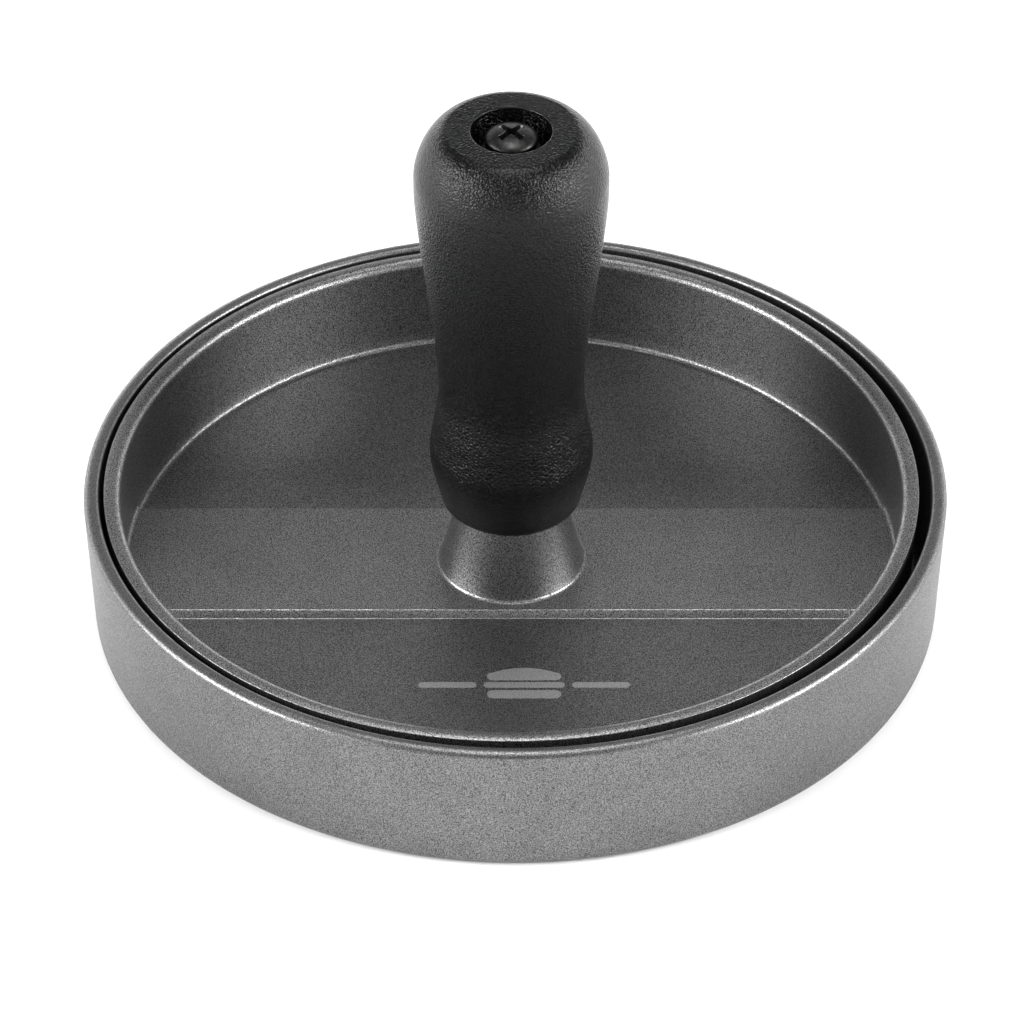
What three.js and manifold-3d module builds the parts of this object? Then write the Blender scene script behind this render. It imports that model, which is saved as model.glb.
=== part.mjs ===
// Patty press: a round cast aluminium mould dish, and a dished press plate that drops into it.
// The plate carries a turned phenolic handle, clamped to its boss by one long M4 screw.
// Millimetres, +Z up. The origin is the centre of the mould's underside.

import * as THREE from 'three';
import { mergeVertices } from 'three/addons/utils/BufferGeometryUtils.js';
import Module from 'manifold-3d';

const wasm = await Module();
wasm.setup();

// ---------- driving dimensions ----------

const GAP = 0.3; // clearance left between pieces that rest on each other

// Mould dish.
const MOULD_R = 64.8;
const MOULD_BASE_R = 63.8;
const MOULD_BASE_EDGE = 1.6;
const MOULD_H = 21.6;
const MOULD_WALL = 2.3;
const MOULD_RIM_W = 1.3; // the rim's outer rounding, across and down
const MOULD_RIM_H = 1;
const MOULD_RIM_EDGE = 0.7;
const MOULD_FLOOR = 2.5;
const MOULD_DRAFT = 0.5; // how much the inner wall closes in towards the floor
const FOOT_RING_W = 8;
const FOOT_RECESS = 0.5;

// Press plate. It lies a little to one side in the mould, as a loose lid does.
const PLATE_X = -0.6;
const PLATE_R = 61.2;
const PLATE_TOP = 21.6;
const PLATE_RIM_W = 1.25; // the rim falls away to a crisp outer edge
const PLATE_RIM_H = 0.45;
const PLATE_RIM_END = 25; // degrees of the rounding left out at that edge
const PLATE_INNER_EDGE = 1.3;
const PLATE_BOTTOM_R = 60.3;
const TRAY_R = 58.65;
const TRAY_Z = 5.9;
const TRAY_FILLET = 0.8;
const STRIP_Z = 6.9;
const STRIP_HALF = 12.65;
const STRIP_RUN = 0.55; // slope of the strip's side

// Ribs that score the patty, on the mould's floor and under the plate.
const RIB_H = 0.5;
const RIB_W = 2;
const RIB_PITCH = 9;
const RIB_COUNT = 11;
const PLATE_UNDER_Z = MOULD_FLOOR + RIB_H + GAP + RIB_H;
const RIB_SINK = 0.4; // how far a rib is buried in the metal it stands on
const RIB_MARGIN = 5; // between the ribs' ends and the wall around them

// Boss in the middle of the plate, with a square spigot that keeps the handle from turning.
const BOSS_BASE_R = 10.8;
const BOSS_FILLET = 0.7;
const BOSS_TOP_R = 8.1;
const BOSS_TOP = 18.3;
const SPIGOT_SIDE = 7;
const SPIGOT_H = 2.7;
const TAP_BOTTOM = 8.2;

// Handle: a small rounded foot, the grip, and a shoulder that rounds into a flat top.
const HANDLE_BOTTOM = BOSS_TOP + GAP;
const HANDLE_TOP = 85.4;
const FOOT_R = 10.6;
const FOOT_ROUND = 1.6;
const SHOULDER_R = 14.3;
const SHOULDER_Z = 77.4;
const SHOULDER_POWER = 1.7; // exponent of the shoulder's superellipse
const TOP_FLAT_R = 9.5;
const COUNTERBORE_R = 5.93;

// M4 pan head screw and its plain washer.
const SCREW_R = 2;
const HEAD_R = 3.95;
const HEAD_H = 3.1;
const HEAD_TOP = HANDLE_TOP - 0.1;
const WASHER_R = 4.5;
const WASHER_T = 0.8;
const HOLE_R = SCREW_R + GAP;
const RECESS_LENGTH = 4.8;
const RECESS_WIDTH = 1;
const RECESS_DEPTH = 1.6;
const RECESS_TURN = Math.PI / 4;
const SCREW_TIP = TAP_BOTTOM + 1;

const HEAD_UNDER = HEAD_TOP - HEAD_H;
const WASHER_TOP = HEAD_UNDER - GAP;
const SEAT_Z = WASHER_TOP - WASHER_T - GAP;

const WELD = 1e-4; // points closer than this are one point
const DISH_SEGMENTS = 72;
const HANDLE_SEGMENTS = 40;
const SCREW_SEGMENTS = 28;

// ---------- materials ----------

const coating = new THREE.MeshStandardMaterial({ color: 0x5d5d5f, roughness: 0.5, metalness: 0.6 });
const phenolic = new THREE.MeshStandardMaterial({ color: 0x17181a, roughness: 0.45, metalness: 0 });
const steel = new THREE.MeshStandardMaterial({ color: 0x6f6e6c, roughness: 0.35, metalness: 1 });

// ---------- shape helpers ----------

// Points on an elliptical arc about (r, z), from one angle to another, in degrees.
function arc(r, z, radiusR, radiusZ, from, to, steps) {
  const points = [];
  for (let i = 0; i <= steps; i += 1) {
    const angle = THREE.MathUtils.degToRad(from + ((to - from) * i) / steps);
    points.push([r + radiusR * Math.cos(angle), z + radiusZ * Math.sin(angle)]);
  }
  return points;
}

// A lathe whose profile closes on itself or starts and ends on the axis.
function lathe(profile, segments) {
  const points = profile.map(([r, z]) => new THREE.Vector2(r, z));
  const geometry = new THREE.LatheGeometry(points, segments);
  geometry.rotateX(Math.PI / 2); // the lathe turns about Y, the part about Z
  return geometry;
}

function closedLathe(profile, segments) {
  return lathe([...profile, profile[0]], segments);
}

function bar(width, depth, height, centre) {
  const geometry = new THREE.BoxGeometry(width, depth, height);
  geometry.translate(...centre);
  return geometry;
}

function solid(geometry) {
  const bare = geometry.clone();
  bare.deleteAttribute('normal');
  bare.deleteAttribute('uv');
  const merged = mergeVertices(bare, WELD);
  return new wasm.Manifold(new wasm.Mesh({
    numProp: 3,
    vertProperties: merged.attributes.position.array,
    triVerts: new Uint32Array(merged.index.array),
  }));
}

function geometryOf(manifold) {
  const mesh = manifold.getMesh();
  const geometry = new THREE.BufferGeometry();
  geometry.setAttribute('position', new THREE.BufferAttribute(mesh.vertProperties, 3));
  geometry.setIndex(new THREE.BufferAttribute(mesh.triVerts, 1));
  geometry.computeVertexNormals();
  return geometry;
}

function named(name, geometry, material, x = 0) {
  const mesh = new THREE.Mesh(geometry, material);
  mesh.name = name;
  mesh.position.x = x;
  return mesh;
}

// Parallel ribs inside a circle. The long side of each lies along X, or along Y when turned.
function ribs(circleR, z0, z1, turned) {
  const bars = [];
  for (let i = 0; i < RIB_COUNT; i += 1) {
    const offset = (i - (RIB_COUNT - 1) / 2) * RIB_PITCH;
    const length = 2 * Math.sqrt(circleR * circleR - offset * offset);
    const rib = bar(length, RIB_W, z1 - z0, [0, offset, (z0 + z1) / 2]);
    if (turned) {
      rib.rotateZ(Math.PI / 2);
    }
    bars.push(solid(rib));
  }
  return bars;
}

// ---------- pieces ----------

function mouldDish() {
  const edge = MOULD_BASE_EDGE;
  const innerTop = MOULD_R - MOULD_WALL;
  const innerFoot = innerTop - MOULD_DRAFT;
  const fillet = 1.5;
  const profile = [
    [0, FOOT_RECESS],
    [MOULD_BASE_R - edge - FOOT_RING_W - FOOT_RECESS, FOOT_RECESS],
    [MOULD_BASE_R - edge - FOOT_RING_W, 0],
    ...arc(MOULD_BASE_R - edge, edge, edge, edge, -90, 0, 4),
    ...arc(MOULD_R - MOULD_RIM_W, MOULD_H - MOULD_RIM_H, MOULD_RIM_W, MOULD_RIM_H, 0, 90, 5),
    ...arc(innerTop + MOULD_RIM_EDGE, MOULD_H - MOULD_RIM_EDGE, MOULD_RIM_EDGE, MOULD_RIM_EDGE, 90, 180, 3),
    ...arc(innerFoot - fillet, MOULD_FLOOR + fillet, fillet, fillet, 0, -90, 3),
    [0, MOULD_FLOOR],
  ];
  let dish = solid(lathe(profile, DISH_SEGMENTS));
  const ribCircle = innerFoot - RIB_MARGIN;
  for (const rib of ribs(ribCircle, MOULD_FLOOR - RIB_SINK, MOULD_FLOOR + RIB_H, true)) {
    dish = dish.add(rib);
  }
  return named('mould_dish', geometryOf(dish), coating);
}

function pressPlate() {
  const edge = 1.6;
  const rimStart = PLATE_R - PLATE_RIM_W;
  const rimReach = PLATE_RIM_W / Math.cos(THREE.MathUtils.degToRad(PLATE_RIM_END));
  const inner = PLATE_INNER_EDGE;
  const profile = [
    [0, PLATE_UNDER_Z],
    ...arc(PLATE_BOTTOM_R - edge, PLATE_UNDER_Z + edge, edge, edge, -90, 0, 3),
    ...arc(rimStart, PLATE_TOP - PLATE_RIM_H, rimReach, PLATE_RIM_H, PLATE_RIM_END, 90, 4),
    ...arc(TRAY_R + inner, PLATE_TOP - inner, inner, inner, 90, 180, 4),
    ...arc(TRAY_R - TRAY_FILLET, TRAY_Z + TRAY_FILLET, TRAY_FILLET, TRAY_FILLET, 0, -90, 3),
    [BOSS_BASE_R + BOSS_FILLET, TRAY_Z],
    [BOSS_BASE_R + BOSS_FILLET, STRIP_Z],
    [BOSS_BASE_R, STRIP_Z + BOSS_FILLET],
    [BOSS_TOP_R, BOSS_TOP],
    [0, BOSS_TOP],
  ];
  let plate = solid(lathe(profile, DISH_SEGMENTS));
  plate = plate.add(solid(strip()));
  const ribCircle = PLATE_BOTTOM_R - RIB_MARGIN;
  for (const rib of ribs(ribCircle, PLATE_UNDER_Z - RIB_H, PLATE_UNDER_Z + RIB_SINK, false)) {
    plate = plate.add(rib);
  }
  const spigotSink = 1;
  const spigotCentre = BOSS_TOP + (SPIGOT_H - spigotSink) / 2;
  const spigot = bar(SPIGOT_SIDE, SPIGOT_SIDE, SPIGOT_H + spigotSink, [0, 0, spigotCentre]);
  plate = plate.add(solid(spigot));
  const tapLength = 20; // runs out through the spigot's top
  const tap = new THREE.CylinderGeometry(HOLE_R, HOLE_R, tapLength, SCREW_SEGMENTS);
  tap.rotateX(Math.PI / 2);
  tap.translate(0, 0, TAP_BOTTOM + tapLength / 2);
  plate = plate.subtract(solid(tap));
  return named('press_plate', geometryOf(plate), coating, PLATE_X);
}

// The raised strip across the tray, with sloping sides, running into the tray's wall.
function strip() {
  const sink = 0.5;
  const halfLength = TRAY_R + 0.4; // its ends are buried in the tray's wall
  const outline = new THREE.Shape();
  outline.moveTo(-STRIP_HALF - STRIP_RUN, TRAY_Z - sink);
  outline.lineTo(STRIP_HALF + STRIP_RUN, TRAY_Z - sink);
  outline.lineTo(STRIP_HALF + STRIP_RUN, TRAY_Z);
  outline.lineTo(STRIP_HALF, STRIP_Z);
  outline.lineTo(-STRIP_HALF, STRIP_Z);
  outline.lineTo(-STRIP_HALF - STRIP_RUN, TRAY_Z);
  const geometry = new THREE.ExtrudeGeometry(outline, { depth: 2 * halfLength, bevelEnabled: false });
  geometry.translate(0, 0, -halfLength);
  geometry.rotateX(Math.PI / 2); // the outline's height now lies along Z, the length along Y
  geometry.rotateZ(Math.PI / 2); // the length now lies along X
  return geometry;
}

// Half outline of the grip between its foot and its widest ring: bulb, waist, swell.
function gripCurve() {
  const knots = [
    [FOOT_R, HANDLE_BOTTOM + FOOT_ROUND],
    [12.2, 27.2],
    [11.6, 33],
    [10.8, 39.5],
    [11.35, 48],
    [12.4, 57],
    [13.5, 66],
    [14.2, 73],
    [SHOULDER_R, SHOULDER_Z],
  ];
  const curve = new THREE.SplineCurve(knots.map(([r, z]) => new THREE.Vector2(r, z)));
  return curve.getPoints(24).map((point) => [point.x, point.y]);
}

// A quarter superellipse from the widest ring to the flat top.
function shoulderCurve() {
  const steps = 9;
  const points = [];
  for (let i = 1; i <= steps; i += 1) {
    const angle = (i / steps) * (Math.PI / 2);
    const across = Math.max(Math.cos(angle), 0) ** (2 / SHOULDER_POWER);
    const up = Math.sin(angle) ** (2 / SHOULDER_POWER);
    const r = TOP_FLAT_R + (SHOULDER_R - TOP_FLAT_R) * across;
    points.push([r, SHOULDER_Z + (HANDLE_TOP - SHOULDER_Z) * up]);
  }
  return points;
}

function handle() {
  const profile = [
    [HOLE_R, HANDLE_BOTTOM],
    ...arc(FOOT_R - FOOT_ROUND, HANDLE_BOTTOM + FOOT_ROUND, FOOT_ROUND, FOOT_ROUND, -90, -20, 3),
    ...gripCurve(),
    ...shoulderCurve(),
    [COUNTERBORE_R, HANDLE_TOP],
    [COUNTERBORE_R, SEAT_Z],
    [HOLE_R, SEAT_Z],
  ];
  const side = SPIGOT_SIDE + 2 * GAP;
  const depth = SPIGOT_H + 2 * GAP;
  const sink = 1; // how far the cutter runs out of the handle's bottom
  const socket = bar(side, side, depth + sink, [0, 0, HANDLE_BOTTOM + (depth - sink) / 2]);
  const grip = solid(closedLathe(profile, HANDLE_SEGMENTS)).subtract(solid(socket));
  return named('handle', geometryOf(grip), phenolic, PLATE_X);
}

function screwWasher() {
  const profile = [
    [HOLE_R, WASHER_TOP - WASHER_T],
    [WASHER_R, WASHER_TOP - WASHER_T],
    [WASHER_R, WASHER_TOP],
    [HOLE_R, WASHER_TOP],
  ];
  return named('screw_washer', closedLathe(profile, SCREW_SEGMENTS), steel, PLATE_X);
}

function handleScrew() {
  const side = 1.6; // height of the head's widest ring above its underside
  const taper = 0.25; // how much narrower the head is at its underside
  const chamfer = 0.8;
  const profile = [
    [0, SCREW_TIP],
    [SCREW_R - chamfer, SCREW_TIP],
    [SCREW_R, SCREW_TIP + chamfer],
    [SCREW_R, HEAD_UNDER],
    [HEAD_R - taper, HEAD_UNDER],
    [HEAD_R, HEAD_UNDER + side],
    ...arc(0, HEAD_UNDER + side, HEAD_R, HEAD_H - side, 25, 90, 5),
  ];
  let screw = solid(lathe(profile, SCREW_SEGMENTS));
  for (const turn of [RECESS_TURN, RECESS_TURN + Math.PI / 2]) {
    const slot = bar(RECESS_LENGTH, RECESS_WIDTH, 2 * RECESS_DEPTH, [0, 0, HEAD_TOP]);
    slot.rotateZ(turn);
    screw = screw.subtract(solid(slot));
  }
  return named('handle_screw', geometryOf(screw), steel, PLATE_X);
}

const press = new THREE.Group();
press.add(mouldDish(), pressPlate(), handle(), screwWasher(), handleScrew());

export default press;
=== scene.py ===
import math

import bmesh
import bpy
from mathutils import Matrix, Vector
from mathutils.geometry import delaunay_2d_cdt


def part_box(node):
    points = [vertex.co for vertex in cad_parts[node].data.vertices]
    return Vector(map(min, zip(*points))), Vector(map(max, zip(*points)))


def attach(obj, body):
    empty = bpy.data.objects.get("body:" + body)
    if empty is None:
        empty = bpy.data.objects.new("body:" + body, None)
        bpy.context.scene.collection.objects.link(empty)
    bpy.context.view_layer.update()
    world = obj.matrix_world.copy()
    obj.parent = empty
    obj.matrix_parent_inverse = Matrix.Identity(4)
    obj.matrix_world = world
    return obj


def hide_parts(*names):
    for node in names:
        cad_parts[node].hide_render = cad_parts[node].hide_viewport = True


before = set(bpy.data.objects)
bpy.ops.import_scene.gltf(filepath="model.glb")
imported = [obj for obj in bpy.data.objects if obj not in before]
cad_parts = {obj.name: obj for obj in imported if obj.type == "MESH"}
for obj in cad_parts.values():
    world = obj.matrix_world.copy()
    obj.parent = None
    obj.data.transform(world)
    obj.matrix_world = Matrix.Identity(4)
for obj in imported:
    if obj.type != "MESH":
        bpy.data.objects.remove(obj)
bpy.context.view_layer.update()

MM = 0.001
FULL_TURN = 2 * math.pi

# ---------- dimensions, in millimetres ----------


def box_mm(node):
    """A CAD node's lowest and highest corner, in millimetres."""
    low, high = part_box(node)
    return low / MM, high / MM


mould_low, mould_high = box_mm("mould_dish")
plate_low, plate_high = box_mm("press_plate")
handle_low, handle_high = box_mm("handle")
washer_low, washer_high = box_mm("screw_washer")
screw_low, screw_high = box_mm("handle_screw")

GAP = 0.3  # left between pieces that rest on each other

MOULD_R = (mould_high.x - mould_low.x) / 2
MOULD_H = mould_high.z
MOULD_BASE_R = MOULD_R - 1.0
MOULD_BASE_EDGE = 1.6
MOULD_WALL = 2.3
MOULD_RIM_W = 1.3
MOULD_RIM_H = 1.0
MOULD_RIM_EDGE = 0.7
MOULD_FLOOR = 2.5
MOULD_DRAFT = 0.5
MOULD_FILLET = 1.5
FOOT_RING_W = 8
FOOT_RECESS = 0.5

PLATE_X = (plate_low.x + plate_high.x) / 2
PLATE_R = (plate_high.x - plate_low.x) / 2
PLATE_TOP = plate_high.z
PLATE_RIM_W = 1.25
PLATE_RIM_H = 0.45
PLATE_RIM_END = 31  # degrees of the rim's rounding left out at its crisp outer edge
PLATE_INNER_EDGE = 1.3
PLATE_BOTTOM_R = PLATE_R - 0.9
PLATE_BOTTOM_EDGE = 1.6
TRAY_R = PLATE_R - 2.55
TRAY_Z = 5.9
TRAY_FILLET = 0.8
STRIP_Z = 6.9
STRIP_HALF = 12.65
STRIP_RUN = 0.55

RIB_H = 0.5
RIB_W = 2
RIB_PITCH = 9
RIB_COUNT = 11
RIB_MARGIN = 5
PLATE_UNDER_Z = plate_low.z + RIB_H

BOSS_BASE_R = 10.8
BOSS_FILLET = 0.7
BOSS_TOP_R = 8.1
BOSS_TOP = handle_low.z - GAP
BOSS_TOP_EDGE = 0.5
BOSS_LEAN = 14  # degrees that the cone's side leans in
SPIGOT_SIDE = 7
SPIGOT_TOP = BOSS_TOP + 2.7
SQUARE_CORNER = 0.6  # rounding of the spigot's and the socket's corners
TAP_BOTTOM = screw_low.z - 1
HOLE_R = 2.3

HANDLE_BOTTOM = handle_low.z
HANDLE_TOP = handle_high.z
SHOULDER_R = (handle_high.x - handle_low.x) / 2
SHOULDER_H = 8
SHOULDER_Z = HANDLE_TOP - SHOULDER_H
SHOULDER_POWER = 1.7
TOP_FLAT_R = 9.5
FOOT_R = 10.6
FOOT_ROUND = 1.6
COUNTERBORE_R = 5.93
COUNTERBORE_EDGE = 0.25
SOCKET_SIDE = SPIGOT_SIDE + 2 * GAP
SOCKET_TOP = HANDLE_BOTTOM + 3.3
SEAT_Z = washer_low.z - GAP

HEAD_R = (screw_high.x - screw_low.x) / 2
HEAD_TOP = screw_high.z
HEAD_H = 3.1
HEAD_SIDE = 1.6  # height of the head's widest ring above its underside
SHANK_R = 2.0
THREAD_PITCH = 0.7
THREAD_DEPTH = 0.38
THREAD_LENGTH = 20
TIP_CHAMFER = 0.8

WELD = 1e-4  # points closer than this are one point

# Steps round a full turn.
DISH_STEPS = 256
HANDLE_STEPS = 128
BORE_STEPS = 32
SCREW_STEPS = 48
WASHER_STEPS = 64

# ---------- camera ----------

CAMERA_PITCH = math.radians(37.5)
CAMERA_DISTANCE = 1.0304
AIM_X = PLATE_X + 0.1
AIM_HEIGHT = 15.8
LENS_MM = 240.3
SENSOR_MM = 36


def add_camera():
    data = bpy.data.cameras.new("camera")
    data.lens = LENS_MM
    data.sensor_width = SENSOR_MM
    data.clip_start = 0.01
    camera = bpy.data.objects.new("camera", data)
    aim = Vector((AIM_X, 0, AIM_HEIGHT)) * MM
    back = Vector((0, -math.cos(CAMERA_PITCH), math.sin(CAMERA_PITCH)))
    camera.location = aim + back * CAMERA_DISTANCE
    camera.rotation_euler = (math.pi / 2 - CAMERA_PITCH, 0, 0)
    bpy.context.scene.collection.objects.link(camera)
    bpy.context.scene.camera = camera


# ---------- surface helpers: all work in millimetres on one bmesh ----------


def even_angles(count):
    return [FULL_TURN * i / count for i in range(count)]


def arc(r, z, radius_r, radius_z, start, end, steps):
    """Points (r, z) on an elliptical arc, from one angle to another in degrees."""
    points = []
    for i in range(steps + 1):
        angle = math.radians(start + (end - start) * i / steps)
        points.append((r + radius_r * math.cos(angle), z + radius_z * math.sin(angle)))
    return points


def loop_at(points, z):
    return [(x, y, z) for x, y in points]


def circle(radius, angles):
    return [(radius * math.cos(a), radius * math.sin(a)) for a in angles]


def rounded_square(side, corner, steps=4):
    """Outline of a square with round corners, anticlockwise."""
    inner = side / 2 - corner
    points = []
    for quarter in range(4):
        middle = math.pi / 4 + quarter * math.pi / 2
        centre_x = math.copysign(inner, math.cos(middle))
        centre_y = math.copysign(inner, math.sin(middle))
        for i in range(steps + 1):
            angle = quarter * math.pi / 2 + (math.pi / 2) * i / steps
            points.append((centre_x + corner * math.cos(angle), centre_y + corner * math.sin(angle)))
    return points


def stadium(half_length, half_width, offset, along_y, steps=6):
    """Outline of a straight rib with round ends, around the middle line at this offset."""
    points = []
    for end in (1, -1):
        for i in range(steps + 1):
            angle = math.pi * (i / steps - 0.5) + (0 if end > 0 else math.pi)
            along = end * half_length + half_width * math.cos(angle)
            across = offset + half_width * math.sin(angle)
            points.append((-across, along) if along_y else (along, across))
    return points


def skin_loops(work, loops, closed=False):
    """Joins each loop of points to the next with four-sided faces."""
    rings = [[work.verts.new(point) for point in loop] for loop in loops]
    following = rings[1:] + rings[:1] if closed else rings[1:]
    for low, high in zip(rings, following):
        for i in range(len(low)):
            j = (i + 1) % len(low)
            work.faces.new((low[i], low[j], high[j], high[i]))


def lathe(work, profile, angles, closed=False):
    """Turns a profile of (r, z) points about the Z axis."""
    skin_loops(work, [loop_at(circle(r, angles), z) for r, z in profile], closed)


def fill(work, outer, holes, creases, height, keep):
    """Covers the plane between outlines, with edges along the creases, lifted to height(x, y)."""
    points = []
    edges = []
    for loop in [outer, *holes, *[c for c in creases if len(c) > 2]]:
        first = len(points)
        points.extend(loop)
        edges.extend((first + i, first + (i + 1) % len(loop)) for i in range(len(loop)))
    for start, end in [c for c in creases if len(c) == 2]:
        points.extend((start, end))
        edges.append((len(points) - 2, len(points) - 1))
    flat = [Vector(p) for p in points]
    found = delaunay_2d_cdt(flat, edges, [], 0, 1e-6)
    verts = [work.verts.new((p.x, p.y, height(p.x, p.y))) for p in found[0]]
    for face in found[2]:
        x = sum(found[0][i].x for i in face) / len(face)
        y = sum(found[0][i].y for i in face) / len(face)
        if keep(x, y):
            work.faces.new([verts[i] for i in face])
    for vert in verts:
        if not vert.link_faces:
            work.verts.remove(vert)


def level(z):
    """Height of a flat face, for fill()."""
    return lambda x, y: z


def everywhere(x, y):
    """Keeps every face, for fill()."""
    return True


def outside_ring(radius):
    """True outside a ring of this radius, with a little tolerance for its straight steps."""
    tolerance = 0.9995
    return lambda x, y: math.hypot(x, y) > radius * tolerance


def outside_square(side):
    """True outside a square with round corners."""
    half = side / 2
    corner_reach = math.hypot(half - SQUARE_CORNER, half - SQUARE_CORNER) + SQUARE_CORNER
    return lambda x, y: max(abs(x), abs(y)) > half or math.hypot(x, y) > corner_reach


def mesh_object(work, name):
    """Turns a bmesh into an object in the scene, and frees it."""
    mesh = bpy.data.meshes.new(name)
    work.to_mesh(mesh)
    work.free()
    made = bpy.data.objects.new(name, mesh)
    bpy.context.scene.collection.objects.link(made)
    return made


def finish_piece(work, name, x_offset, material, body, nodes):
    """Welds the surface into one object in metres, with smooth shading weighted by face area."""
    bmesh.ops.remove_doubles(work, verts=work.verts, dist=WELD)
    bmesh.ops.dissolve_degenerate(work, edges=work.edges, dist=1e-5)
    bmesh.ops.recalc_face_normals(work, faces=work.faces)
    for vert in work.verts:
        vert.co = Vector((vert.co.x + x_offset, vert.co.y, vert.co.z)) * MM
    piece = mesh_object(work, name)
    piece.data.shade_smooth()
    weighted = piece.modifiers.new("weighted_normals", "WEIGHTED_NORMAL")
    weighted.weight = 100
    piece.data.materials.append(material)
    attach(piece, body)
    if nodes:
        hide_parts(*nodes)
    return piece


# ---------- score ribs ----------

# A rib's round-topped section: distance from its middle line, and height above the face under it.
RIB_CROWN_W = 0.86 * RIB_W
RIB_SECTION = [(RIB_W / 2, 0.0)] + [
    (RIB_CROWN_W / 2 * math.cos(math.radians(a)), RIB_H * math.sin(math.radians(a)))
    for a in (22, 45, 68)
]


def rib_lines(circle_r):
    """Offset and half length of each rib inside a circle."""
    for i in range(RIB_COUNT):
        offset = (i - (RIB_COUNT - 1) / 2) * RIB_PITCH
        yield offset, math.sqrt(circle_r * circle_r - offset * offset) - RIB_W / 2


def rib_creases(circle_r, along_y):
    creases = []
    for offset, half_length in rib_lines(circle_r):
        for half_width, _ in RIB_SECTION:
            creases.append(stadium(half_length, half_width, offset, along_y))
        tip = [(-half_length, offset), (half_length, offset)]
        creases.append([(-y, x) if along_y else (x, y) for x, y in tip])
    return creases


def rib_height(x, y, circle_r, along_y):
    """How far a rib stands out at this place."""
    along, across = (y, -x) if along_y else (x, y)
    nearest = RIB_W
    for offset, half_length in rib_lines(circle_r):
        beyond = max(abs(along) - half_length, 0)
        nearest = min(nearest, math.hypot(beyond, across - offset))
    section = RIB_SECTION + [(0.0, RIB_H)]
    for (wide, low), (narrow, high) in zip(section, section[1:]):
        if narrow <= nearest <= wide:
            return low + (high - low) * (wide - nearest) / (wide - narrow)
    return 0.0


# ---------- mould dish ----------


def mould_dish(material):
    angles = even_angles(DISH_STEPS)
    edge = MOULD_BASE_EDGE
    lip = MOULD_RIM_EDGE
    fillet = MOULD_FILLET
    foot_r = MOULD_BASE_R - edge
    inner_top = MOULD_R - MOULD_WALL
    inner_foot = inner_top - MOULD_DRAFT
    floor_r = inner_foot - fillet
    rib_circle = inner_foot - RIB_MARGIN
    work = bmesh.new()
    profile = [
        (0, FOOT_RECESS),
        (foot_r - FOOT_RING_W - FOOT_RECESS, FOOT_RECESS),
        (foot_r - FOOT_RING_W, 0),
        *arc(foot_r, edge, edge, edge, -90, 0, 8),
        *arc(MOULD_R - MOULD_RIM_W, MOULD_H - MOULD_RIM_H, MOULD_RIM_W, MOULD_RIM_H, 0, 90, 16),
        *arc(inner_top + lip, MOULD_H - lip, lip, lip, 90, 180, 8),
        *arc(floor_r, MOULD_FLOOR + fillet, fillet, fillet, 0, -90, 8),
    ]
    lathe(work, profile, angles)
    fill(
        work,
        circle(floor_r, angles),
        [],
        rib_creases(rib_circle, True),
        lambda x, y: MOULD_FLOOR + rib_height(x, y, rib_circle, True),
        everywhere,
    )
    return finish_piece(work, "mould_dish_cast", 0, material, "mould", ["mould_dish"])


# ---------- press plate ----------


def riser_section():
    """Half section of the raised strip's side: (distance from the middle, height), top to floor."""
    top_round = 0.3
    foot_round = 0.35
    slope = math.degrees(math.atan2(STRIP_RUN, STRIP_Z - TRAY_Z))
    top = arc(STRIP_HALF - top_round, STRIP_Z - top_round, top_round, top_round, 90, slope, 5)
    foot_y = STRIP_HALF + STRIP_RUN + foot_round
    foot = arc(foot_y, TRAY_Z + foot_round, foot_round, foot_round, 180 + slope, 270, 5)
    return top + foot


def strip_height(y):
    distance = abs(y)
    section = riser_section()
    if distance <= section[0][0]:
        return STRIP_Z
    for (near, high), (far, low) in zip(section, section[1:]):
        if distance <= far:
            return high + (low - high) * (distance - near) / (far - near)
    return TRAY_Z


def plate_angles(floor_r):
    """Even steps round the tray, with the strip's edges in place of the steps that fall on them."""
    section = riser_section()
    margin = 0.3
    near, far = section[0][0] - margin, section[-1][0] + margin
    angles = [a for a in even_angles(DISH_STEPS) if not near < abs(floor_r * math.sin(a)) < far]
    for distance, _ in section:
        steep = math.asin(distance / floor_r)
        angles.extend((steep, math.pi - steep, math.pi + steep, FULL_TURN - steep))
    return sorted(angles)


def plate_wall(work, angles, floor_r):
    """From the tray's fillet up the wall, over the rim and down the skirt to the underside."""
    edge = PLATE_BOTTOM_EDGE
    inner = PLATE_INNER_EDGE
    rim_start = PLATE_R - PLATE_RIM_W
    rim_reach = PLATE_RIM_W / math.cos(math.radians(PLATE_RIM_END))
    rim_low = PLATE_TOP - PLATE_RIM_H
    corner_z = rim_low + PLATE_RIM_H * math.sin(math.radians(PLATE_RIM_END))
    corner_drop = 0.12  # keeps the rim's outer edge crisp
    wall_foot = (TRAY_R + 0.05, STRIP_Z + 2)
    rows = []
    for angle in angles:
        start = strip_height(floor_r * math.sin(angle))
        rows.append([
            *arc(floor_r, start + TRAY_FILLET, TRAY_FILLET, TRAY_FILLET, -90, 0, 7),
            wall_foot,
            *arc(TRAY_R + inner, PLATE_TOP - inner, inner, inner, 180, 90, 10),
            *arc(rim_start, rim_low, rim_reach, PLATE_RIM_H, 90, PLATE_RIM_END, 12),
            (PLATE_R, corner_z - corner_drop),
            *arc(PLATE_BOTTOM_R - edge, PLATE_UNDER_Z + edge, edge, edge, 0, -90, 8),
        ])
    loops = []
    for i in range(len(rows[0])):
        loops.append([
            (row[i][0] * math.cos(a), row[i][0] * math.sin(a), row[i][1])
            for row, a in zip(rows, angles)
        ])
    skin_loops(work, loops)
    return PLATE_BOTTOM_R - edge


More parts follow.
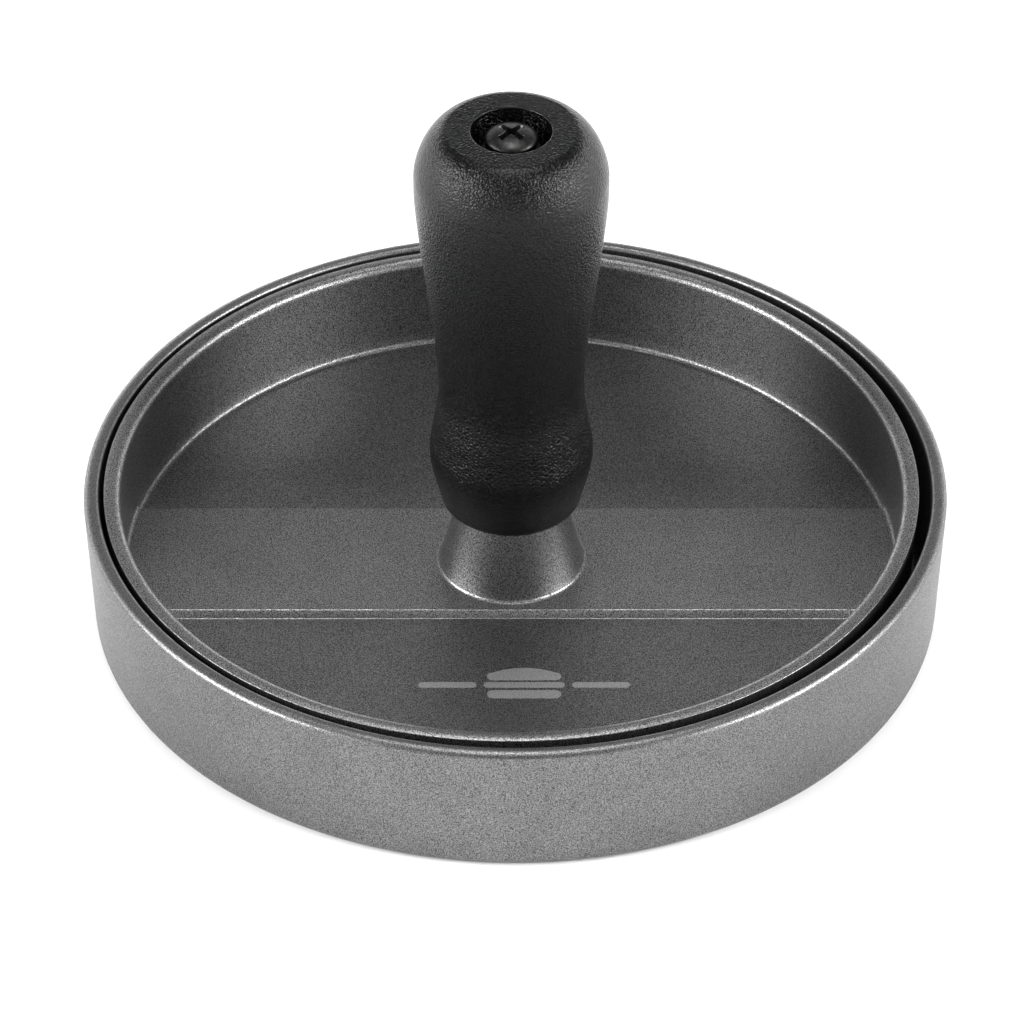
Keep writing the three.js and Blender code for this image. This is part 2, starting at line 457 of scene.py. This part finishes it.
def boss(work, angles):
    """The cone, its round top edge, the square spigot and the tapped hole."""
    edge = BOSS_TOP_EDGE
    foot = BOSS_BASE_R + BOSS_FILLET
    lathe(work, [
        *arc(foot, STRIP_Z + BOSS_FILLET, BOSS_FILLET, BOSS_FILLET, -90, BOSS_LEAN - 180, 7),
        *arc(BOSS_TOP_R - edge, BOSS_TOP - edge, edge, edge, BOSS_LEAN, 90, 5),
    ], angles)
    square = rounded_square(SPIGOT_SIDE, SQUARE_CORNER)
    top_ring = circle(BOSS_TOP_R - edge, angles)
    fill(work, top_ring, [square], [], level(BOSS_TOP), outside_square(SPIGOT_SIDE))
    skin_loops(work, [loop_at(square, BOSS_TOP), loop_at(square, SPIGOT_TOP)])
    hole = even_angles(BORE_STEPS)
    fill(work, square, [circle(HOLE_R, hole)], [], level(SPIGOT_TOP), outside_ring(HOLE_R))
    lathe(work, [(HOLE_R, SPIGOT_TOP), (HOLE_R, TAP_BOTTOM), (0, TAP_BOTTOM - 1)], hole)


def press_plate(material):
    floor_r = TRAY_R - TRAY_FILLET
    angles = plate_angles(floor_r)
    boss_angles = even_angles(HANDLE_STEPS)
    boss_ring = BOSS_BASE_R + BOSS_FILLET
    creases = []
    for distance, _ in riser_section():
        for y in (distance, -distance):
            half = math.sqrt(floor_r * floor_r - y * y)
            creases.append([(-half, y), (half, y)])
    work = bmesh.new()
    fill(
        work, circle(floor_r, angles), [circle(boss_ring, boss_angles)], creases,
        lambda x, y: strip_height(y),
        outside_ring(boss_ring),
    )
    under_r = plate_wall(work, angles, floor_r)
    boss(work, boss_angles)
    rib_circle = PLATE_BOTTOM_R - RIB_MARGIN
    fill(
        work, circle(under_r, angles), [], rib_creases(rib_circle, False),
        lambda x, y: PLATE_UNDER_Z - rib_height(x, y, rib_circle, False),
        everywhere,
    )
    return finish_piece(
        work, "press_plate_cast", PLATE_X, material, "press", ["press_plate"]
    )


# ---------- handle ----------


def spline(knots, steps):
    """A Catmull-Rom curve through the knots."""
    points = []
    padded = [knots[0], *knots, knots[-1]]
    for a, b, c, d in zip(padded, padded[1:], padded[2:], padded[3:]):
        for i in range(steps):
            t = i / steps
            points.append(tuple(
                0.5 * (2 * q + (r - p) * t + (2 * p - 5 * q + 4 * r - s) * t * t
                       + (3 * q - p - 3 * r + s) * t ** 3)
                for p, q, r, s in zip(a, b, c, d)
            ))
    return points + [knots[-1]]


def grip_curve():
    return spline([
        (FOOT_R, HANDLE_BOTTOM + FOOT_ROUND),
        (12.2, 27.2),
        (11.6, 33),
        (10.8, 39.5),
        (11.35, 48),
        (12.4, 57),
        (13.5, 66),
        (14.2, 73),
        (SHOULDER_R, SHOULDER_Z),
    ], 12)


def shoulder_curve():
    """A quarter superellipse from the widest ring to the flat top."""
    steps = 28
    power = 2 / SHOULDER_POWER
    points = []
    for i in range(1, steps + 1):
        angle = math.pi / 2 * i / steps
        across = max(math.cos(angle), 0) ** power
        up = math.sin(angle) ** power
        r = TOP_FLAT_R + (SHOULDER_R - TOP_FLAT_R) * across
        points.append((r, SHOULDER_Z + SHOULDER_H * up))
    return points


def handle(material):
    angles = even_angles(HANDLE_STEPS)
    bore = even_angles(BORE_STEPS)
    bore_ring = circle(HOLE_R, bore)
    lip = COUNTERBORE_EDGE
    foot_ring = FOOT_R - FOOT_ROUND
    seat_ring = circle(COUNTERBORE_R, angles)
    square = rounded_square(SOCKET_SIDE, SQUARE_CORNER)
    work = bmesh.new()
    lathe(work, [
        *arc(foot_ring, HANDLE_BOTTOM + FOOT_ROUND, FOOT_ROUND, FOOT_ROUND, -90, -15, 8),
        *grip_curve(),
        *shoulder_curve(),
        *arc(COUNTERBORE_R + lip, HANDLE_TOP - lip, lip, lip, 90, 180, 4),
        (COUNTERBORE_R, SEAT_Z),
    ], angles)
    fill(work, seat_ring, [bore_ring], [], level(SEAT_Z), outside_ring(HOLE_R))
    lathe(work, [(HOLE_R, SEAT_Z), (HOLE_R, SOCKET_TOP)], bore)
    fill(work, square, [bore_ring], [], level(SOCKET_TOP), outside_ring(HOLE_R))
    skin_loops(work, [loop_at(square, SOCKET_TOP), loop_at(square, HANDLE_BOTTOM)])
    foot = circle(foot_ring, angles)
    fill(work, foot, [square], [], level(HANDLE_BOTTOM), outside_square(SOCKET_SIDE))
    return finish_piece(work, "handle_grip", PLATE_X, material, "press", ["handle"])


# ---------- screw and washer ----------

# The cross recess from above the head down to its tip: reach and half width of its arms, and depth
# below the head's top.
RECESS_SECTIONS = [
    (0.01, 0.005, -1),
    (2.75, 0.62, -1),
    (2.4, 0.55, 0.2),
    (1.3, 0.46, 1.7),
    (0.05, 0.02, 2.3),
]


def cross_outline(reach, half_width):
    """Outline of the cross recess at one depth, turned half way between the axes."""
    corner = [(reach, -half_width), (reach, half_width), (half_width, half_width)]
    points = []
    for quarter in range(4):
        turn = quarter * math.pi / 2 + math.pi / 4
        cos, sin = math.cos(turn), math.sin(turn)
        for x, y in corner:
            points.append((x * cos - y * sin, x * sin + y * cos))
    return points


def recess_tool():
    """The tapering cross that is cut into the screw's head."""
    work = bmesh.new()
    skin_loops(work, [
        loop_at(cross_outline(reach, half_width), HEAD_TOP - depth)
        for reach, half_width, depth in RECESS_SECTIONS
    ])
    bmesh.ops.holes_fill(work, edges=work.edges)
    bmesh.ops.recalc_face_normals(work, faces=work.faces)
    return mesh_object(work, "recess_tool")


def thread_loops(angles, start, length):
    """Rings down the shank whose radius follows a V thread, fading in and out at its ends."""
    rows_per_pitch = 6
    rows = int(length / THREAD_PITCH * rows_per_pitch)
    loops = []
    for row in range(rows + 1):
        z = start + length * row / rows
        fade = min(row, rows - row, rows_per_pitch) / rows_per_pitch
        loop = []
        for angle in angles:
            phase = (z / THREAD_PITCH - angle / FULL_TURN) % 1
            depth = THREAD_DEPTH * fade * (1 - abs(2 * phase - 1))
            r = SHANK_R - depth
            loop.append((r * math.cos(angle), r * math.sin(angle), z))
        loops.append(loop)
    return loops


def screw_blank():
    """The screw before its recess is cut: chamfered tip, thread, plain shank and pan head."""
    angles = even_angles(SCREW_STEPS)
    under = HEAD_TOP - HEAD_H
    widest = under + HEAD_SIDE
    tip = screw_low.z
    neck = 0.2  # fillet under the head
    edge_r, edge_h = 0.35, 0.6  # rounding of the head's lower edge
    edge_in, edge_down = 0.5, 0.9  # and its centre, from the head's widest ring
    work = bmesh.new()
    shank = [
        loop_at(circle(0, angles), tip),
        loop_at(circle(SHANK_R - TIP_CHAMFER, angles), tip),
        *thread_loops(angles, tip + TIP_CHAMFER, THREAD_LENGTH),
    ]
    head = [
        (SHANK_R, under - neck),
        (SHANK_R + neck, under),
        (HEAD_R - edge_r, under),
        *arc(HEAD_R - edge_in, widest - edge_down, edge_r, edge_h, -80, -10, 4),
        *arc(0, widest, HEAD_R, HEAD_H - HEAD_SIDE, 0, 90, 24),
    ]
    skin_loops(work, shank + [loop_at(circle(r, angles), z) for r, z in head])
    bmesh.ops.remove_doubles(work, verts=work.verts, dist=WELD)
    bmesh.ops.recalc_face_normals(work, faces=work.faces)
    return mesh_object(work, "blank")


def handle_screw(material):
    blank = screw_blank()
    tool = recess_tool()
    cut = blank.modifiers.new("recess", "BOOLEAN")
    cut.operation = "DIFFERENCE"
    cut.solver = "EXACT"
    cut.object = tool
    bpy.context.view_layer.update()
    shape = bmesh.new()
    shape.from_object(blank, bpy.context.evaluated_depsgraph_get())
    bpy.data.objects.remove(blank)
    bpy.data.objects.remove(tool)
    return finish_piece(
        shape, "handle_screw_m4", PLATE_X, material, "press", ["handle_screw"]
    )


def screw_washer(material):
    low, high = washer_low.z, washer_high.z
    outer = (washer_high.x - washer_low.x) / 2
    edge = 0.12
    work = bmesh.new()
    lathe(work, [
        (HOLE_R + edge, low),
        *arc(outer - edge, low + edge, edge, edge, -90, 0, 3),
        *arc(outer - edge, high - edge, edge, edge, 0, 90, 3),
        *arc(HOLE_R + edge, high - edge, edge, edge, 90, 180, 3),
        *arc(HOLE_R + edge, low + edge, edge, edge, 180, 270, 3),
    ], even_angles(WASHER_STEPS), closed=True)
    return finish_piece(
        work, "screw_washer_plain", PLATE_X, material, "press", ["screw_washer"]
    )


# ---------- generic mark etched on the front of the tray ----------

MARK_X = 1.9  # from the plate's centre
MARK_Y = -28.9
MARK_RAISE = 0.02  # above the tray's floor
MARK_SINK = 0.05  # below it


def bar_outline(centre_x, centre_y, width, height, round_r, dome=0.0):
    """A rounded bar; dome lifts its upper edge into a bun's crown."""
    corner_steps = 6
    dome_steps = 16
    points = []
    for quarter in range(4):
        middle = math.pi / 4 + quarter * math.pi / 2
        corner_x = centre_x + math.copysign(width / 2 - round_r, math.cos(middle))
        corner_y = centre_y + math.copysign(height / 2 - round_r, math.sin(middle))
        for i in range(corner_steps + 1):
            angle = quarter * math.pi / 2 + math.pi / 2 * i / corner_steps
            points.append((corner_x + round_r * math.cos(angle), corner_y + round_r * math.sin(angle)))
        if quarter == 0 and dome:
            for i in range(1, dome_steps):
                t = 1 - 2 * i / dome_steps
                x = centre_x + t * (width / 2 - round_r)
                points.append((x, centre_y + height / 2 + dome * (1 - t * t)))
    return points


def tray_mark(material):
    """A burger of three bars, with a short bar on either side."""
    middle = -0.3
    outlines = [
        bar_outline(0, 1.7, 11, 1.8, 0.8, dome=1.1),
        bar_outline(0, middle, 12, 1.3, 0.6),
        bar_outline(0, -2.5, 11, 1.9, 0.9),
    ]
    for side in (-1, 1):
        outlines.append(bar_outline(side * 11.4, middle, 8.6, 1.3, 0.6))
    work = bmesh.new()
    for outline in outlines:
        moved = [(x + MARK_X, y + MARK_Y) for x, y in outline]
        loops = [loop_at(moved, TRAY_Z - MARK_SINK), loop_at(moved, TRAY_Z + MARK_RAISE)]
        skin_loops(work, loops)
        for loop in loops:
            work.faces.new([work.verts.new(point) for point in loop])
    return finish_piece(work, "tray_mark", PLATE_X, material, "press", [])


# ---------- materials ----------


def new_material(name):
    material = bpy.data.materials.new(name)
    material.use_nodes = True
    nodes = material.node_tree.nodes
    return material, nodes, material.node_tree.links, nodes["Principled BSDF"]


def object_coords(nodes):
    return nodes.new("ShaderNodeTexCoord").outputs["Object"]


def noise(nodes, links, coords, size_mm, detail=2.0, roughness=0.5, distortion=0.0):
    """Noise whose features are about size_mm across."""
    node = nodes.new("ShaderNodeTexNoise")
    node.inputs["Scale"].default_value = 1 / (size_mm * MM)
    node.inputs["Detail"].default_value = detail
    node.inputs["Roughness"].default_value = roughness
    node.inputs["Distortion"].default_value = distortion
    links.new(coords, node.inputs["Vector"])
    return node.outputs["Fac"]


def ramp(nodes, links, value, stops):
    """A colour ramp from (place, grey or colour) stops."""
    node = nodes.new("ShaderNodeValToRGB")
    elements = node.color_ramp.elements
    while len(elements) < len(stops):
        elements.new(0.5)
    for element, (place, shade) in zip(elements, stops):
        element.position = place
        element.color = (*shade, 1) if isinstance(shade, tuple) else (shade, shade, shade, 1)
    links.new(value, node.inputs["Fac"])
    return node.outputs["Color"]


def combine(nodes, links, kind, first, second, factor):
    """Mixes two colours by a blend kind."""
    node = nodes.new("ShaderNodeMix")
    node.data_type = "RGBA"
    node.blend_type = kind
    node.inputs["Factor"].default_value = factor
    links.new(first, node.inputs["A"])
    links.new(second, node.inputs["B"])
    return node.outputs["Result"]


def bump(nodes, links, height, distance_mm, strength, normal=None):
    node = nodes.new("ShaderNodeBump")
    node.inputs["Distance"].default_value = distance_mm * MM
    node.inputs["Strength"].default_value = strength
    links.new(height, node.inputs["Height"])
    if normal is not None:
        links.new(normal, node.inputs["Normal"])
    return node.outputs["Normal"]


def by_place(nodes, links, coords, axis, low_mm, high_mm, stops):
    """A ramp along one axis of the object, between two places on it."""
    split = nodes.new("ShaderNodeSeparateXYZ")
    links.new(coords, split.inputs["Vector"])
    place = nodes.new("ShaderNodeMapRange")
    place.inputs["From Min"].default_value = low_mm * MM
    place.inputs["From Max"].default_value = high_mm * MM
    links.new(split.outputs[axis], place.inputs["Value"])
    return ramp(nodes, links, place.outputs["Result"], stops)


# Painted shade on the plate's coating, by height from the tray's floor to the rim: the recessed floors,
# the tray's wall and the boss are painted darker than the raised strip.
SHADE_BY_HEIGHT = [(0.013, 0.74), (0.051, 1.0), (0.08, 1.0), (0.15, 0.78), (0.9, 0.78), (1.0, 0.85)]
# Painted shade from the plate's front to its rear: it is painted darker behind the strip than in front of
# it.
SHADE_BY_DEPTH = [
    (0.2, 1.0), (0.5, 0.94), (0.6, 0.88), (0.68, 0.62), (0.78, 0.64), (0.95, 0.78), (1.0, 0.7),
]


def plate_painted_shade(nodes, links, coords, base):
    """Paints shade into the coating's colour by its place on the plate."""
    height = by_place(nodes, links, coords, "Z", TRAY_Z, PLATE_TOP, SHADE_BY_HEIGHT)
    depth = by_place(nodes, links, coords, "Y", -PLATE_R, PLATE_R, SHADE_BY_DEPTH)
    base = combine(nodes, links, "MULTIPLY", base, height, 1.0)
    return combine(nodes, links, "MULTIPLY", base, depth, 1.0)


def coating(name, dark, light, roughness, painted_shade=False):
    """Charcoal non-stick coating: fine light and dark metal flakes over satin cast aluminium."""
    material, nodes, links, shader = new_material(name)
    coords = object_coords(nodes)
    flakes = noise(nodes, links, coords, 0.165, detail=1.0)
    tone = ramp(nodes, links, flakes, [(0.38, dark), (0.62, light)])
    mottle = noise(nodes, links, coords, 9.0, detail=3.0)
    cloud = ramp(nodes, links, mottle, [(0.3, 0.88), (0.7, 1.0)])
    base = combine(nodes, links, "MULTIPLY", tone, cloud, 1.0)
    # On the plate, painted shade: darker recessed floors, wall, boss and rear.
    if painted_shade:
        base = plate_painted_shade(nodes, links, coords, base)
    links.new(base, shader.inputs["Base Color"])
    gloss = ramp(nodes, links, flakes, [(0.3, roughness + 0.08), (0.7, roughness - 0.08)])
    links.new(gloss, shader.inputs["Roughness"])
    fine = bump(nodes, links, flakes, 0.035, 0.5)
    peel = noise(nodes, links, coords, 1.3, detail=2.0)
    links.new(bump(nodes, links, peel, 0.05, 0.25, fine), shader.inputs["Normal"])
    shader.inputs["Metallic"].default_value = 0.96
    return material


def phenolic():
    """Black phenolic with a pebbled moulded grain, strong on the grip's side and fainter on its top."""
    material, nodes, links, shader = new_material("phenolic_black")
    coords = object_coords(nodes)
    grain = noise(nodes, links, coords, 0.33, detail=1.5, roughness=0.5, distortion=0.3)
    valley, peak = (0.0003, 0.0003, 0.0004), (0.002, 0.002, 0.0024)
    links.new(ramp(nodes, links, grain, [(0.40, valley), (0.62, peak)]), shader.inputs["Base Color"])
    wear = noise(nodes, links, coords, 6.0, detail=3.0)
    links.new(ramp(nodes, links, wear, [(0.3, 0.17), (0.7, 0.23)]), shader.inputs["Roughness"])
    fade = by_place(nodes, links, coords, "Z", HANDLE_TOP - 2, HANDLE_TOP, [(0.5, 1.0), (0.97, 0.45)])
    worn = combine(nodes, links, "MULTIPLY", grain, fade, 1.0)
    pebble = bump(nodes, links, worn, 0.22, 1.0)
    shader.inputs["Specular IOR Level"].default_value = 0.25
    soft = noise(nodes, links, coords, 3.0, detail=1.0)
    links.new(bump(nodes, links, soft, 0.1, 0.2, pebble), shader.inputs["Normal"])
    return material


def steel():
    """Dark plated steel with faint stains and fine marks."""
    material, nodes, links, shader = new_material("steel_dark_plated")
    coords = object_coords(nodes)
    stain = noise(nodes, links, coords, 0.8, detail=3.0)
    shade = ramp(nodes, links, stain, [(0.3, (0.025, 0.025, 0.025)), (0.7, (0.06, 0.059, 0.058))])
    links.new(shade, shader.inputs["Base Color"])
    marks = noise(nodes, links, coords, 0.12, detail=2.0)
    links.new(ramp(nodes, links, marks, [(0.3, 0.28), (0.7, 0.42)]), shader.inputs["Roughness"])
    links.new(bump(nodes, links, marks, 0.01, 0.3), shader.inputs["Normal"])
    shader.inputs["Metallic"].default_value = 1.0
    return material


def floor_material():
    material, _, _, shader = new_material("floor_white")
    shader.inputs["Base Color"].default_value = (0.9, 0.9, 0.9, 1)
    shader.inputs["Roughness"].default_value = 0.9
    return material


# ---------- stage ----------

FLOOR_HALF = 3.0  # metres


def add_floor():
    work = bmesh.new()
    corners = [(-1, -1), (1, -1), (1, 1), (-1, 1)]
    work.faces.new([work.verts.new((x * FLOOR_HALF, y * FLOOR_HALF, 0)) for x, y in corners])
    floor = mesh_object(work, "floor")
    floor.data.materials.append(floor_material())


LIGHT_AIM = Vector((0, 0, 0.04))


def softbox(name, azimuth, elevation, distance, width, height, power):
    """A rectangular light in metres, degrees and watts. Azimuth 0 is behind the press, 90 to its right."""
    data = bpy.data.lights.new(name, "AREA")
    data.shape = "RECTANGLE"
    data.size = width
    data.size_y = height
    data.energy = power
    light = bpy.data.objects.new(name, data)
    turn = math.radians(azimuth)
    rise = math.radians(elevation)
    way = Vector((math.sin(turn) * math.cos(rise), math.cos(turn) * math.cos(rise), math.sin(rise)))
    light.location = LIGHT_AIM + way * distance
    light.rotation_euler = way.to_track_quat("Z", "Y").to_euler()
    bpy.context.scene.collection.objects.link(light)


# Brightness of the studio's walls at these heights of the view direction (its Z), behind and in
# front, as shares of the brightest.
SKY_BRIGHTEST = 8.0
SKY_HEIGHTS = (0.0, 0.08, 0.25, 0.5, 0.8, 1.0)
SKY_BEHIND = (1.0, 0.20, 0.22, 0.035, 0.03, 0.10)
SKY_FRONT = (0.30, 0.18, 0.12, 0.035, 0.035, 0.09)
# The greys in front give way to those behind between these depths of the view direction (its Y).
SKY_BLEND = (0.1, 0.7)


def add_world():
    """A studio that is brightest at the horizon, with different greys behind and in front."""
    world = bpy.data.worlds.new("studio")
    world.use_nodes = True
    nodes, links = world.node_tree.nodes, world.node_tree.links
    direction = nodes.new("ShaderNodeTexCoord").outputs["Generated"]
    split = nodes.new("ShaderNodeSeparateXYZ")
    links.new(direction, split.inputs["Vector"])
    front = ramp(nodes, links, split.outputs["Z"], list(zip(SKY_HEIGHTS, SKY_FRONT)))
    behind = ramp(nodes, links, split.outputs["Z"], list(zip(SKY_HEIGHTS, SKY_BEHIND)))
    depth = nodes.new("ShaderNodeMapRange")
    depth.inputs["From Min"].default_value, depth.inputs["From Max"].default_value = SKY_BLEND
    links.new(split.outputs["Y"], depth.inputs["Value"])
    sky = nodes.new("ShaderNodeMix")
    sky.data_type = "RGBA"
    links.new(depth.outputs["Result"], sky.inputs["Factor"])
    links.new(front, sky.inputs["A"])
    links.new(behind, sky.inputs["B"])
    links.new(sky.outputs["Result"], nodes["Background"].inputs["Color"])
    nodes["Background"].inputs["Strength"].default_value = SKY_BRIGHTEST
    bpy.context.scene.world = world


def add_lights():
    softbox("softbox_left", 255, 23, 0.9, 0.66, 0.42, 12)
    softbox("softbox_right", 105, 23, 0.9, 0.66, 0.42, 12)
    softbox("softbox_top", 0, 86, 1.0, 0.35, 0.6, 3.8)


add_camera()
add_world()
add_lights()
add_floor()
mould_dish(coating("coating_mould", 0.075, 0.26, 0.38))
# The plate's coating carries painted shade by height and by depth.
press_plate(coating("coating_plate", 0.065, 0.48, 0.38, painted_shade=True))
tray_mark(coating("coating_etched", 0.30, 0.50, 0.5))
handle(phenolic())
dark_steel = steel()
screw_washer(dark_steel)
handle_screw(dark_steel)

view = bpy.context.scene.view_settings
view.view_transform = "Standard"
